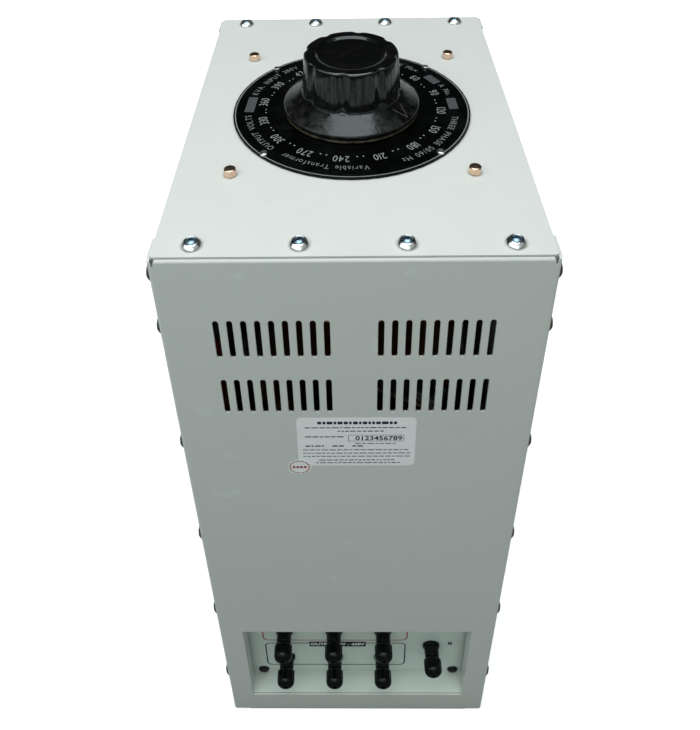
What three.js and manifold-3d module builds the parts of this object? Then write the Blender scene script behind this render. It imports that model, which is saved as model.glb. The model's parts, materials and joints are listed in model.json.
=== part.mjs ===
// A three-phase manual variac (variable autotransformer): a tall sheet-steel case with a
// fluted knob and a voltage dial on top, seven binding posts in a window at the bottom of
// the front, and three ganged toroidal coils on four tie rods inside.
// Millimetres. +Z is up, the front is -Y, and the origin is the middle of the base's underside.

import * as THREE from "three";
import { mergeVertices } from "three/addons/utils/BufferGeometryUtils.js";
import Module from "manifold-3d";

const wasm = await Module();
wasm.setup();

// ---------------------------------------------------------------- driving dimensions

const caseWidth = 245; // over the folded covers
const caseDepth = 329;
const coverHeight = 600;
const baseDrop = 3; // the base plate stands this far below the covers
const sheet = 1.5; // covers, side panels and terminal board
const gap = 0.3; // clearance between pieces that meet
const bendRadius = 2.5; // outside radius of the covers' folds
const foldedEdge = 20; // width of the covers' folded-in edges

const topZ = baseDrop + coverHeight; // upper face of the top plate
const topPlateThickness = 1.2;
const topPlateInset = 1.5; // from the covers' outer faces, front and rear
const topPlateWidth = 241;
const coverTop = topZ - topPlateThickness - gap;
const frontFace = -caseDepth / 2;

const screwOffsets = [-97, -32.3, 32.3, 97]; // top screws, along X
const screwRow = caseDepth / 2 - 12; // distance of each row of top screws from the centre
const screwRadius = 2;

const rodOffset = 82.5; // tie rods, along X and Y
const rodRadius = 2.5;
const capNutFlats = 8;

const dialRadius = 90;
const dialThickness = 1.5;

const slotWidth = 4;
const slotLength = 34.3;
const slotPitch = 8.7;
const slotColumns = 9; // in each of the two groups
const firstSlot = 17; // from the centre line to the nearest column
const slotTops = [51.7, 106.7]; // below the top plate's upper face

const windowHalfWidth = 102;
const windowTop = topZ - 445.5;
const windowBottom = topZ - 570.4;
const windowReturn = 14; // depth of the folded edges around the window

const boardSetback = 20; // terminal board behind the front face
const boardFace = frontFace + boardSetback;
const boardHalfWidth = 116;
const boardTop = 190;
const ledgeTop = windowBottom + 0.7; // the board's forward fold, just above the window's sill

const postColumns = [-68, -21.5, 24.5];
const inputRow = topZ - 487;
const outputRow = topZ - 538;
const neutralPost = [71, topZ - 514.7];
const studRadius = 2.5;
const capLength = 14.5;
const capRadius = 8.2;
const capStart = 12; // from the board's face

const shaftRadius = 6.35;
const boreRadius = shaftRadius + gap;

const unitNames = ["lower", "middle", "upper"];
const firstUnitZ = 75;
const unitPitch = 165;
const frameThickness = 4;
const frameHalfSize = 92;
const coilInner = 42;
const coilOuter = 100;
const coilHeight = 72;
const coilSides = 30;
const windingWall = 5;
const windingGapAngle = THREE.MathUtils.degToRad(28); // bare sector between the winding's two ends
const trackRadius = 84; // the brushes run on the winding's upper face at this radius
const brushSize = { across: 8, along: 16, height: 20 };

// The dial reads clockwise; the knob's pointer and the brush arms rest at this angle from +X.
const pointerAngle = THREE.MathUtils.degToRad(-35);
// The winding's bare sector faces the dial's gap between 430 V and 0 V.
const dialGapAngle = THREE.MathUtils.degToRad(102.6);

// ---------------------------------------------------------------- materials

const paint = material(0xd5ddd9, 0.55, 0.1);
const zinc = material(0xb9bec2, 0.35, 0.9);
const blackPlastic = material(0x161616, 0.25, 0);
const dialBlack = material(0x101112, 0.4, 0.2);
const brass = material(0xb88a52, 0.35, 0.9);
const steel = material(0x9a9da0, 0.4, 0.9);
const coreSteel = material(0x55585c, 0.6, 0.7);
const copper = material(0xb4622d, 0.4, 0.8);
const aluminium = material(0xc3c6c9, 0.45, 0.9);
const carbon = material(0x2b2b2d, 0.7, 0.2);
const cable = material(0x9c2b22, 0.55, 0);

function material(color, roughness, metalness) {
  return new THREE.MeshStandardMaterial({ color, roughness, metalness });
}

// ---------------------------------------------------------------- solids

// A closed geometry as a solid: vertices merged, slivers at a turned profile's poles dropped.
function toSolid(geometry) {
  const bare = geometry.clone();
  bare.deleteAttribute("normal");
  bare.deleteAttribute("uv");
  const merged = mergeVertices(bare, 1e-4);
  const indices = merged.index.array;
  const kept = [];
  for (let i = 0; i < indices.length; i += 3) {
    const [a, b, c] = [indices[i], indices[i + 1], indices[i + 2]];
    if (a !== b && b !== c && c !== a) kept.push(a, b, c);
  }
  return new wasm.Manifold(
    new wasm.Mesh({
      numProp: 3,
      vertProperties: merged.attributes.position.array,
      triVerts: new Uint32Array(kept),
    }),
  );
}

function toGeometry(solid) {
  const mesh = solid.getMesh();
  const geometry = new THREE.BufferGeometry();
  geometry.setAttribute("position", new THREE.BufferAttribute(mesh.vertProperties, 3));
  geometry.setIndex(new THREE.BufferAttribute(mesh.triVerts, 1));
  const flat = geometry.toNonIndexed();
  flat.computeVertexNormals();
  return flat;
}

function combine(first, others, operation) {
  let solid = toSolid(first);
  for (const other of others) solid = solid[operation](toSolid(other));
  return toGeometry(solid);
}

const cut = (body, ...tools) => combine(body, tools, "subtract");
const join = (body, ...pieces) => combine(body, pieces, "add");
const common = (body, ...pieces) => combine(body, pieces, "intersect");

// A box from its limits along X, Y and Z.
function block([x0, x1], [y0, y1], [z0, z1]) {
  const geometry = new THREE.BoxGeometry(x1 - x0, y1 - y0, z1 - z0);
  return geometry.translate((x0 + x1) / 2, (y0 + y1) / 2, (z0 + z1) / 2);
}

// A round bar along Z.
function bar(radius, [z0, z1], sides = 20, [x, y] = [0, 0]) {
  const geometry = new THREE.CylinderGeometry(radius, radius, z1 - z0, sides);
  return geometry.rotateX(Math.PI / 2).translate(x, y, (z0 + z1) / 2);
}

// A profile of [radius, z] points, upwards, turned about the Z axis.
function turned(profile, sides) {
  const points = profile.map(([r, z]) => new THREE.Vector2(r, z));
  return new THREE.LatheGeometry(points, sides).rotateX(Math.PI / 2);
}

// A flat outline in XY raised from z0 to z1.
function raised(shape, [z0, z1], curveSegments = 4) {
  const settings = { depth: z1 - z0, bevelEnabled: false, curveSegments };
  return new THREE.ExtrudeGeometry(shape, settings).translate(0, 0, z0);
}

// An outline drawn in (X, Z), run along Y from y0 to y1.
function runAlongY(shape, [y0, y1], curveSegments = 4) {
  const turn = new THREE.Matrix4().makeBasis(
    new THREE.Vector3(1, 0, 0),
    new THREE.Vector3(0, 0, 1),
    new THREE.Vector3(0, -1, 0),
  );
  return raised(shape, [-y1, -y0], curveSegments).applyMatrix4(turn);
}

// An outline drawn in (Y, Z), run along X from -half to +half.
function runAlongX(shape, half, curveSegments = 4) {
  const turn = new THREE.Matrix4().makeBasis(
    new THREE.Vector3(0, 1, 0),
    new THREE.Vector3(0, 0, 1),
    new THREE.Vector3(1, 0, 0),
  );
  return raised(shape, [-half, half], curveSegments).applyMatrix4(turn);
}

function outline(points) {
  return new THREE.Shape(points.map(([x, y]) => new THREE.Vector2(x, y)));
}

const corners = [
  ["front_left", -1, -1],
  ["front_right", 1, -1],
  ["rear_left", -1, 1],
  ["rear_right", 1, 1],
];

// ---------------------------------------------------------------- the assembly

const group = new THREE.Group();
group.name = "variac";

function addMesh(parent, name, geometry, finish, place = [0, 0, 0]) {
  const mesh = new THREE.Mesh(geometry, finish);
  mesh.name = name;
  mesh.position.set(...place);
  parent.add(mesh);
  return mesh;
}

function subgroup(parent, place = [0, 0, 0]) {
  const made = new THREE.Group();
  made.position.set(...place);
  parent.add(made);
  return made;
}

// ---------------------------------------------------------------- case

function basePlate() {
  const half = 107;
  const tabWidth = 22;
  const tabHeight = 48;
  const tabBack = boardFace + sheet + gap; // the tabs stand behind the terminal board
  let plate = block([-half, half], [frontFace + 0.7, -frontFace - 0.7], [0, baseDrop - gap]);
  for (const side of [-1, 1]) {
    const middle = side * 94;
    const across = [middle - tabWidth / 2, middle + tabWidth / 2];
    plate = join(plate, block(across, [tabBack, tabBack + sheet], [1, tabHeight]));
  }
  return plate;
}

// A C-shaped side: an upright sheet with its top and bottom edges folded inwards.
function sidePanel(side) {
  const outside = caseWidth / 2 - sheet - gap;
  const inside = outside - sheet;
  const foldEnd = outside - 14;
  const length = caseDepth / 2 - sheet - gap;
  const top = coverTop - sheet - gap;
  const bottom = baseDrop + gap;
  const profile = outline([
    [outside, bottom],
    [outside, top],
    [foldEnd, top],
    [foldEnd, top - sheet],
    [inside, top - sheet],
    [inside, bottom + sheet],
    [foldEnd, bottom + sheet],
    [foldEnd, bottom],
  ]);
  const panel = runAlongY(profile, [-length, length]);
  return side > 0 ? panel : panel.rotateZ(Math.PI);
}

// The block that a cover is folded around, with rounded upright corners and top edge.
function coverBlock(inset, back) {
  const half = caseWidth / 2 - inset;
  const radius = bendRadius - inset;
  const front = frontFace + inset;
  const plan = new THREE.Shape();
  plan.moveTo(half, back);
  plan.lineTo(-half, back);
  plan.lineTo(-half, front + radius);
  plan.absarc(-half + radius, front + radius, radius, Math.PI, 1.5 * Math.PI);
  plan.lineTo(half - radius, front);
  plan.absarc(half - radius, front + radius, radius, 1.5 * Math.PI, 2 * Math.PI);
  const top = coverTop - inset;
  const bottom = baseDrop - inset;
  const side = new THREE.Shape();
  side.moveTo(back, bottom);
  side.lineTo(back, top);
  side.lineTo(front + radius, top);
  side.absarc(front + radius, top - radius, radius, 0.5 * Math.PI, Math.PI);
  side.lineTo(front, bottom);
  return common(raised(plan, [bottom, top], 3), runAlongX(side, half, 3));
}

// A vent slot with rounded ends, hanging down from its top.
function slot(x, top) {
  const radius = slotWidth / 2;
  const facets = 3; // to each rounded end
  const points = [];
  for (const [z, start] of [[top - radius, 0], [top - slotLength + radius, Math.PI]]) {
    for (let i = 0; i <= facets; i += 1) {
      const angle = start + (Math.PI * i) / facets;
      points.push([x + radius * Math.cos(angle), z + radius * Math.sin(angle)]);
    }
  }
  return runAlongY(outline(points), [frontFace - 1, frontFace + sheet + 1]);
}

function vents() {
  const slots = [];
  for (const top of slotTops) {
    for (let column = 0; column < slotColumns; column += 1) {
      const x = firstSlot + column * slotPitch;
      slots.push(slot(-x, topZ - top), slot(x, topZ - top));
    }
  }
  return slots;
}

// A cover: face, two folded sides and a folded top, with vents and four screw holes.
function cover() {
  const back = frontFace + foldedEdge;
  const shell = cut(coverBlock(0, back), coverBlock(sheet, back + 1));
  const holes = screwOffsets.map((x) =>
    bar(screwRadius + gap, [coverTop - 5, coverTop + 1], 8, [x, -screwRow]),
  );
  const reliefs = [-1, 1].map((side) =>
    bar(1.4, [coverTop - 5, coverTop + 1], 8, [side * (caseWidth / 2 - 3.3), frontFace + 1.2]),
  );
  return cut(shell, ...vents(), ...holes, ...reliefs);
}

function frontCover() {
  const half = windowHalfWidth;
  const opening = [windowBottom, windowTop];
  const folds = [frontFace + sheet / 2, frontFace + windowReturn];
  const above = [ledgeTop + gap, windowTop + sheet];
  const hollow = [ledgeTop - 1, windowTop];
  const frame = cut(
    block([-half - sheet, half + sheet], folds, above),
    block([-half, half], [frontFace - 1, frontFace + windowReturn + 1], hollow),
  );
  const face = block([-half, half], [frontFace - 1, frontFace + sheet + 1], opening);
  return join(cut(cover(), face), frame);
}

function topPlate() {
  const half = caseDepth / 2 - topPlateInset;
  const across = topPlateWidth / 2;
  const nip = 1.5; // the corners are nipped off
  const shape = outline([
    [across - nip, -half],
    [across, -half + nip],
    [across, half - nip],
    [across - nip, half],
    [-across + nip, half],
    [-across, half - nip],
    [-across, -half + nip],
    [-across + nip, -half],
  ]);
  const thickness = [topZ - topPlateThickness, topZ];
  const through = [topZ - 5, topZ + 1];
  const screwHoles = screwOffsets.flatMap((x) =>
    [-screwRow, screwRow].map((y) => bar(screwRadius + gap, through, 8, [x, y])),
  );
  const rodHoles = corners.map(([, x, y]) =>
    bar(rodRadius + gap, through, 10, [x * rodOffset, y * rodOffset]),
  );
  const bushHole = bar(10 + gap, through, 16);
  return cut(raised(shape, thickness), ...screwHoles, ...rodHoles, bushHole);
}

function dialPlate() {
  const bottom = topZ + gap;
  const top = bottom + dialThickness;
  const disc = turned([[0, bottom], [dialRadius, bottom], [dialRadius, top], [0, top]], 56);
  return cut(disc, bar(16, [bottom - 1, top + 1], 24));
}

// The board behind the window, with a ledge folded forward at its foot.
function terminalBoard() {
  const back = boardFace + sheet;
  const bottom = ledgeTop - sheet;
  const board = block([-boardHalfWidth, boardHalfWidth], [boardFace, back], [bottom, boardTop]);
  const ledgeFront = frontFace + sheet + gap;
  const ledge = block([-110, 110], [ledgeFront, boardFace + 0.5], [bottom, ledgeTop]);
  const holes = postPlaces().map(([, x, z]) => {
    const hole = bar(studRadius + gap, [-5, 5], 10).rotateX(Math.PI / 2);
    return hole.translate(x, boardFace, z);
  });
  return cut(join(board, ledge), ...holes);
}

// A domed cup washer with the screw that it seats, as one fastener.
function topScrew() {
  return turned(
    [
      [0, -9],
      [screwRadius, -9],
      [screwRadius, gap],
      [6.9, gap],
      [6.9, 1.1],
      [4.4, 3.5],
      [3.4, 3.7],
      [1.8, 4.3],
      [0, 4.5],
    ],
    10,
  );
}

// A low hexagon cap nut: blind, with its top corners chamfered away.
function capNut() {
  const across = capNutFlats / Math.sqrt(3);
  const hex = bar(across, [gap, 4.7], 6);
  const top = turned([[0, 1], [3.9, 1], [3.9, 5], [3.5, 5.5], [0, 5.7]], 12);
  const hole = turned([[0, 0], [rodRadius + gap, 0], [rodRadius + gap, 4], [0, 4.6]], 8);
  return cut(join(hex, top), hole);
}

function buildCase() {
  addMesh(group, "base_plate", basePlate(), zinc);
  addMesh(group, "left_side_panel", sidePanel(-1), paint);
  addMesh(group, "right_side_panel", sidePanel(1), paint);
  addMesh(group, "front_cover", frontCover(), paint);
  const rear = subgroup(group);
  rear.rotation.z = Math.PI;
  addMesh(rear, "rear_cover", cover(), paint);
  addMesh(group, "top_plate", topPlate(), paint);
  addMesh(group, "dial_plate", dialPlate(), dialBlack);
  addMesh(group, "terminal_board", terminalBoard(), paint);
  for (const [row, y] of [["front", -screwRow], ["rear", screwRow]]) {
    screwOffsets.forEach((x, i) => {
      addMesh(group, `top_screw_${row}_${i + 1}`, topScrew(), zinc, [x, y, topZ]);
    });
  }
  for (const [corner, x, y] of corners) {
    const rod = bar(rodRadius, [baseDrop + gap, topZ + 3.5], 10);
    const place = [x * rodOffset, y * rodOffset, 0];
    addMesh(group, `tie_rod_${corner}`, rod, steel, place);
    addMesh(group, `cap_nut_${corner}`, capNut(), brass, [place[0], place[1], topZ]);
  }
}

// ---------------------------------------------------------------- terminals

function postPlaces() {
  const phases = ["a", "b", "c"];
  const inputs = phases.map((phase, i) => [`input_${phase}`, postColumns[i], inputRow]);
  const outputs = phases.map((phase, i) => [`output_${phase}`, postColumns[i], outputRow]);
  return [...inputs, ...outputs, ["neutral", ...neutralPost]];
}

// A fixed post: stud through the board, with an insulating collar and neck in front of it
// and a nut behind it. Its axis is Z here, towards the user.
function bindingPost() {
  const back = -sheet - gap;
  return turned(
    [
      [0, -18],
      [studRadius, -18],
      [studRadius, back - 4],
      [5, back - 4],
      [5, back],
      [studRadius, back],
      [studRadius, gap],
      [8, gap],
      [8, 3],
      [6, 3.2],
      [6, capStart - gap],
      [studRadius, capStart - gap],
      [studRadius, capStart + 9],
      [0, capStart + 9],
    ],
    10,
  );
}

// The screw cap that clamps a wire: chamfered back edge, straight grip and tapered nose.
function postCap() {
  const end = capStart + capLength;
  const body = turned(
    [
      [0, capStart],
      [6.6, capStart],
      [capRadius, capStart + 1.8],
      [capRadius, end - 4.2],
      [5, end - 0.6],
      [4, end],
      [0, end],
    ],
    12,
  );
  return cut(body, bar(studRadius + gap, [capStart - 1, capStart + 10], 10));
}

function buildTerminals() {
  for (const [name, x, z] of postPlaces()) {
    const post = subgroup(group, [x, boardFace, z]);
    post.rotation.x = Math.PI / 2; // local +Z becomes -Y
    addMesh(post, `post_${name}`, bindingPost(), blackPlastic);
    addMesh(post, `cap_${name}`, postCap(), blackPlastic);
  }
}

// ---------------------------------------------------------------- coil units

// The steel plate that carries one coil: chamfered square, with rod holes and a rotor hole.
function coilFrame() {
  const size = frameHalfSize;
  const chamfer = 12;
  const shape = outline([
    [size - chamfer, -size],
    [size, -size + chamfer],
    [size, size - chamfer],
    [size - chamfer, size],
    [-size + chamfer, size],
    [-size, size - chamfer],
    [-size, -size + chamfer],
    [-size + chamfer, -size],
  ]);
  const rodHoles = corners.map(([, x, y]) =>
    bar(rodRadius + gap, [-1, frameThickness + 1], 10, [x * rodOffset, y * rodOffset]),
  );
  const middle = bar(24, [-1, frameThickness + 1], 16);
  return cut(raised(shape, [0, frameThickness]), ...rodHoles, middle);
}

// A square-edged ring about the Z axis.
function ring(inner, outer, [z0, z1]) {
  return turned([[inner, z0], [outer, z0], [outer, z1], [inner, z1], [inner, z0]], coilSides);
}

// The wound strip core, seen bare in the sector that the winding leaves open.
function coilCore() {
  const wall = windingWall + gap;
  const height = [wall, coilHeight - wall];
  return ring(coilInner + wall, coilOuter - wall, height);
}

// One layer of copper wire around the core, open over the sector between its two ends.
function winding() {
  const fillet = 4;
  const shell = turned(
    [
      [coilInner, fillet],
      [coilInner + fillet, 0],
      [coilOuter - fillet, 0],
      [coilOuter, fillet],
      [coilOuter, coilHeight - fillet],
      [coilOuter - fillet, coilHeight],
      [coilInner + fillet, coilHeight],
      [coilInner, coilHeight - fillet],
      [coilInner, fillet],
    ],
    coilSides,
  );
  const inside = [windingWall, coilHeight - windingWall];
  const hollow = ring(coilInner + windingWall, coilOuter - windingWall, inside);
  const far = 2 * coilOuter;
  const half = windingGapAngle / 2;
  const wedge = outline([
    [0, 0],
    [far * Math.cos(dialGapAngle - half), far * Math.sin(dialGapAngle - half)],
    [far * Math.cos(dialGapAngle + half), far * Math.sin(dialGapAngle + half)],
  ]);
  return cut(shell, hollow, raised(wedge, [-1, coilHeight + 1]));
}

// The rotor arm: hub on the shaft, flat cooling arm and the holder that guides the brush.
function brushArm() {
  const hub = bar(16, [0, 22], 16);
  const arm = outline([
    [-34, -15],
    [-30, -22],
    [40, -22],
    [trackRadius + 10, -12],
    [trackRadius + 10, 12],
    [40, 22],
    [-30, 22],
    [-34, 15],
  ]);
  const reach = [trackRadius - 11, trackRadius + 11];
  const holder = block(reach, [-8, 8], [-5, 10]);
  const socketReach = brushSize.along / 2 + gap;
  const socketHalf = brushSize.across / 2 + gap;
  const socket = block(
    [trackRadius - socketReach, trackRadius + socketReach],
    [-socketHalf, socketHalf],
    [-6, 11],
  );
  return cut(join(hub, raised(arm, [0, 5]), holder), socket, bar(boreRadius, [-1, 23], 16));
}

function carbonBrush() {
  const { across, along, height } = brushSize;
  return block(
    [trackRadius - along / 2, trackRadius + along / 2],
    [-across / 2, across / 2],
    [0, height],
  );
}

function buildCoils() {
  const armLift = 10; // the arm's underside above the winding
  unitNames.forEach((name, i) => {
    const unit = subgroup(group, [0, 0, firstUnitZ + i * unitPitch]);
    addMesh(unit, `coil_frame_${name}`, coilFrame(), steel);
    const seat = frameThickness + gap;
    addMesh(unit, `core_${name}`, coilCore(), coreSteel, [0, 0, seat]);
    addMesh(unit, `winding_${name}`, winding(), copper, [0, 0, seat]);
    const rotor = subgroup(unit, [0, 0, seat + coilHeight]);
    rotor.rotation.z = pointerAngle;
    addMesh(rotor, `brush_arm_${name}`, brushArm(), aluminium, [0, 0, armLift]);
    addMesh(rotor, `carbon_brush_${name}`, carbonBrush(), carbon, [0, 0, gap]);
  });
}

// ---------------------------------------------------------------- drive

const shaftFoot = firstUnitZ + 2;
const shaftTop = topZ + 38;

function lowerBush() {
  const flange = bar(30, [firstUnitZ - 4, firstUnitZ - gap], 16);
  const sleeve = bar(22, [firstUnitZ - 12, firstUnitZ + frameThickness], 16);
  return cut(join(flange, sleeve), bar(boreRadius, [shaftFoot - gap, firstUnitZ + 40], 16));
}

function topBush() {
  const flange = bar(15, [topZ - topPlateThickness - 3, topZ - topPlateThickness - gap], 16);
  const sleeve = bar(10, [topZ - 16, topZ + 1], 16);
  return cut(join(flange, sleeve), bar(boreRadius, [topZ - 20, topZ + 5], 16));
}

function shaftCollar() {
  const seat = firstUnitZ + frameThickness + gap;
  return cut(bar(13, [seat, seat + 10], 16), bar(boreRadius, [seat - 1, seat + 11], 16));
}

// The knob's grip: a slightly tapered round with eight shallow flutes.
function grip() {
  const flutes = 8;
  const fluteDepth = 1.6;
  const fluteHalf = THREE.MathUtils.degToRad(10);
  const firstFlute = THREE.MathUtils.degToRad(25);
  const steps = 64;
  const radius = 36.9; // at the foot
  const shape = new THREE.Shape();
  for (let i = 0; i < steps; i += 1) {
    const angle = (2 * Math.PI * i) / steps;
    const spacing = (2 * Math.PI) / flutes;
    const turns = (angle - firstFlute) / spacing;
    const away = Math.abs(turns - Math.round(turns)) * spacing;
    const share = Math.min(away / fluteHalf, 1);
    const dip = (fluteDepth * (1 + Math.cos(Math.PI * share))) / 2;
    const r = radius - dip;
    const point = [r * Math.cos(angle), r * Math.sin(angle)];
    if (i === 0) shape.moveTo(...point);
    else shape.lineTo(...point);
  }
  const body = raised(shape, [16, 49.5]);
  const points = body.attributes.position;
  for (let i = 0; i < points.count; i += 1) {
    const narrowing = 1 - (0.057 * (points.getZ(i) - 18.4)) / 31.1;
    points.setX(i, points.getX(i) * narrowing);
    points.setY(i, points.getY(i) * narrowing);
  }
  return body;
}

// The knob: rim, conical skirt and fluted grip with a dished top, bored for the shaft.
function knob() {
  const skirt = turned(
    [
      [0, 2.6],
      [51.1, 2.6],
      [51.1, 4.4],
      [50.2, 4.8],
      [51.5, 5.6],
      [51.5, 8.4],
      [50.8, 9.2],
      [37.4, 18.2],
      [0, 18.4],
    ],
    48,
  );
  const dish = turned([[0, 47.6], [23.6, 47.6], [26.6, 49.6], [0, 51]], 28);
  const bore = bar(boreRadius, [0, 38.5], 16);
  return cut(join(skirt, grip()), dish, bore, setScrewHole());
}

function alongRearOfKnob(geometry) {
  return geometry.rotateX(-Math.PI / 2).translate(0, 0, 26);
}

function setScrewHole() {
  return alongRearOfKnob(bar(2 + gap, [0, 45], 12));
}

function buildDrive() {
  addMesh(group, "shaft", bar(shaftRadius, [shaftFoot, shaftTop], 16), steel);
  addMesh(group, "lower_bush", lowerBush(), brass);
  addMesh(group, "top_bush", topBush(), brass);
  addMesh(group, "shaft_collar", shaftCollar(), zinc);
  const control = subgroup(group, [0, 0, topZ]);
  control.rotation.z = pointerAngle;
  addMesh(control, "knob", knob(), blackPlastic);
  const setScrew = alongRearOfKnob(bar(2, [shaftRadius + gap, 30], 10));
  addMesh(control, "knob_set_screw", setScrew, steel);
}

// ---------------------------------------------------------------- wiring

// The bound cables from the terminal board up the front left corner to the coils.
function wiringLoom() {
  const path = new THREE.CatmullRomCurve3([
    new THREE.Vector3(-96, boardFace + 22, 62),
    new THREE.Vector3(-104, boardFace + 28, 100),
    new THREE.Vector3(-106, boardFace + 34, 250),
    new THREE.Vector3(-106, boardFace + 34, 470),
  ]);
  const section = new THREE.Shape().absarc(0, 0, 7, 0, 2 * Math.PI);
  const settings = { steps: 10, extrudePath: path, curveSegments: 4 };
  return new THREE.ExtrudeGeometry(section, settings);
}

buildCase();
buildTerminals();
buildCoils();
buildDrive();
addMesh(group, "wiring_loom", wiringLoom(), cable);

export default group;
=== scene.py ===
"""A three-phase manual variac: looks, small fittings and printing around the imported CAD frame.

Lengths are in metres and follow the frame: +Z up, front towards -Y, origin under the base plate.
"""

import json
import math
import random

import bmesh
import bpy
from mathutils import Matrix, Vector


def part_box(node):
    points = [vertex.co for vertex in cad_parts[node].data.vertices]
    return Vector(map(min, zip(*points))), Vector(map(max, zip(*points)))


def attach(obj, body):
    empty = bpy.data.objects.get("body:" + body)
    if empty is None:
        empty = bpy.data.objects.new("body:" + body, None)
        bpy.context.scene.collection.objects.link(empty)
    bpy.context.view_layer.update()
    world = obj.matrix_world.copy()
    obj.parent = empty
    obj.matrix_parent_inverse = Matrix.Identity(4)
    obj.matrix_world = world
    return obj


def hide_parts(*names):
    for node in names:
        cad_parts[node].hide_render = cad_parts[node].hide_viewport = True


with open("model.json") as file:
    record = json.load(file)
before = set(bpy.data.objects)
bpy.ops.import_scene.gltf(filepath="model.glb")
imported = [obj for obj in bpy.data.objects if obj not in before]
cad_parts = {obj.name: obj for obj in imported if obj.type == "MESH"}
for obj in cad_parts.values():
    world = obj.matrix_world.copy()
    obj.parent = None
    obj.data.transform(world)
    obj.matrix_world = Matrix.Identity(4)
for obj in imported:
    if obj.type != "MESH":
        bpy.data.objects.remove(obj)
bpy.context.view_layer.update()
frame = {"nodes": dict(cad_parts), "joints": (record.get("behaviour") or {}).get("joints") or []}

MM = 0.001
POSTS = [f"{row}_{phase}" for row in ("input", "output") for phase in "abc"] + ["neutral"]
CORNERS = ("front_left", "front_right", "rear_left", "rear_right")
UNITS = ("lower", "middle", "upper")

# ---- places taken from the frame

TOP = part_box("top_plate")[1].z
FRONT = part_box("front_cover")[0].y
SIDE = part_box("front_cover")[1].x
DIAL_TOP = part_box("dial_plate")[1].z
KNOB_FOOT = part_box("knob")[0].z
CAP_START = 12 * MM  # the caps' back face in front of the terminal board
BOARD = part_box("cap_neutral")[1].y + CAP_START


def centre(node):
    low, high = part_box(node)
    return (low + high) / 2


def below(drop):
    """The height of a place some millimetres below the top plate's upper face."""
    return TOP - drop * MM


# ---- node materials


class Nodes:
    """A node tree and the kinds of node that are used in it."""

    def __init__(self, owner):
        owner.use_nodes = True
        self.tree = owner.node_tree
        self.coordinates = self.node("ShaderNodeTexCoord").outputs

    def node(self, kind, inputs=None, **settings):
        """A new node, with its inputs fed from numbers or from other nodes."""
        made = self.tree.nodes.new(kind)
        for key, value in settings.items():
            setattr(made, key, value)
        for key, value in (inputs or {}).items():
            self.feed(made.inputs[key], value)
        return made

    def feed(self, socket, value):
        if isinstance(value, bpy.types.NodeSocket):
            self.tree.links.new(value, socket)
        elif socket.type == "RGBA" and len(value) == 3:
            socket.default_value = (*value, 1.0)
        else:
            socket.default_value = value

    def value_of(self, colour):
        made = self.node("ShaderNodeRGB")
        made.outputs[0].default_value = (*colour, 1.0)
        return made.outputs[0]

    def band(self, value, low, high, start=0.0, end=1.0):
        """value mapped from low..high to start..end, clamped and eased at both ends."""
        inputs = dict(enumerate((value, low, high, start, end)))
        return self.node("ShaderNodeMapRange", inputs, interpolation_type="SMOOTHSTEP").outputs[0]

    def math(self, operation, a, b=0.0):
        return self.node("ShaderNodeMath", {0: a, 1: b}, operation=operation).outputs[0]

    def times(self, a, b):
        return self.math("MULTIPLY", a, b)

    def mix(self, share, a, b):
        """Colour a turning into colour b as the share goes from 0 to 1."""
        return self.node("ShaderNodeMix", {0: share, 6: a, 7: b}, data_type="RGBA").outputs[2]

    def part(self, vector, name):
        """One of a vector's parts: X, Y or Z."""
        return self.node("ShaderNodeSeparateXYZ", {0: vector}).outputs[name]


class Finish(Nodes):
    """A procedural material: one Principled shader and the nodes that feed it."""

    def __init__(self, name, colour, roughness, metallic=0.0, **inputs):
        self.material = bpy.data.materials.new(name)
        super().__init__(self.material)
        self.shader = self.tree.nodes["Principled BSDF"]
        self.material.diffuse_color = (*colour, 1.0)
        self.where = self.coordinates["Object"]
        self.colour = self.value_of(colour)
        self.roughness = roughness
        self.set("Metallic", metallic)
        for key, value in inputs.items():
            self.set(key.replace("_", " "), value)

    def set(self, name, value):
        self.feed(self.shader.inputs[name], value)

    def stretched(self, scale, turn=(0, 0, 0)):
        """The object's own coordinates, scaled along each axis and turned."""
        inputs = {"Vector": self.where, "Scale": scale, "Rotation": turn}
        return self.node("ShaderNodeMapping", inputs).outputs[0]

    def noise(self, size, detail=3.0, vector=None, distortion=0.0):
        """Noise whose blobs are about `size` metres across."""
        inputs = {"Vector": vector or self.where, "Scale": 1 / size}
        inputs |= {"Detail": detail, "Distortion": distortion}
        return self.node("ShaderNodeTexNoise", inputs).outputs["Fac"]

    def axis(self, name):
        return self.part(self.where, name)

    def distance_from_axis(self):
        x, y = self.axis("X"), self.axis("Y")
        return self.math("SQRT", self.math("ADD", self.times(x, x), self.times(y, y)))

    def tint(self, share, colour):
        self.colour = self.mix(share, self.colour, colour)

    def stain(self, value, low, high, share, colour):
        """Tints by up to share as value climbs from low to high."""
        self.tint(self.band(value, low, high, 0.0, share), colour)

    def vary_roughness(self, value, low, high):
        self.roughness = self.band(value, 0.3, 0.7, low, high)

    def bump(self, height, depth, strength):
        """Raises the surface by up to `depth` metres where height is 1."""
        inputs = {"Strength": strength, "Distance": depth, "Height": height}
        made = self.node("ShaderNodeBump", inputs)
        normal = self.shader.inputs["Normal"]
        if normal.is_linked:
            self.feed(made.inputs["Normal"], normal.links[0].from_socket)
        self.feed(normal, made.outputs[0])

    def crevice(self, reach):
        """1 deep in corners and narrow gaps, 0 on open surfaces: the mask for painted shade where shade
        falls.
        """
        made = self.node("ShaderNodeAmbientOcclusion", {"Distance": reach}, samples=6)
        return self.band(made.outputs["AO"], 0.85, 0.25)

    def done(self):
        self.set("Base Color", self.colour)
        self.set("Roughness", self.roughness)
        return self.material


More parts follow.
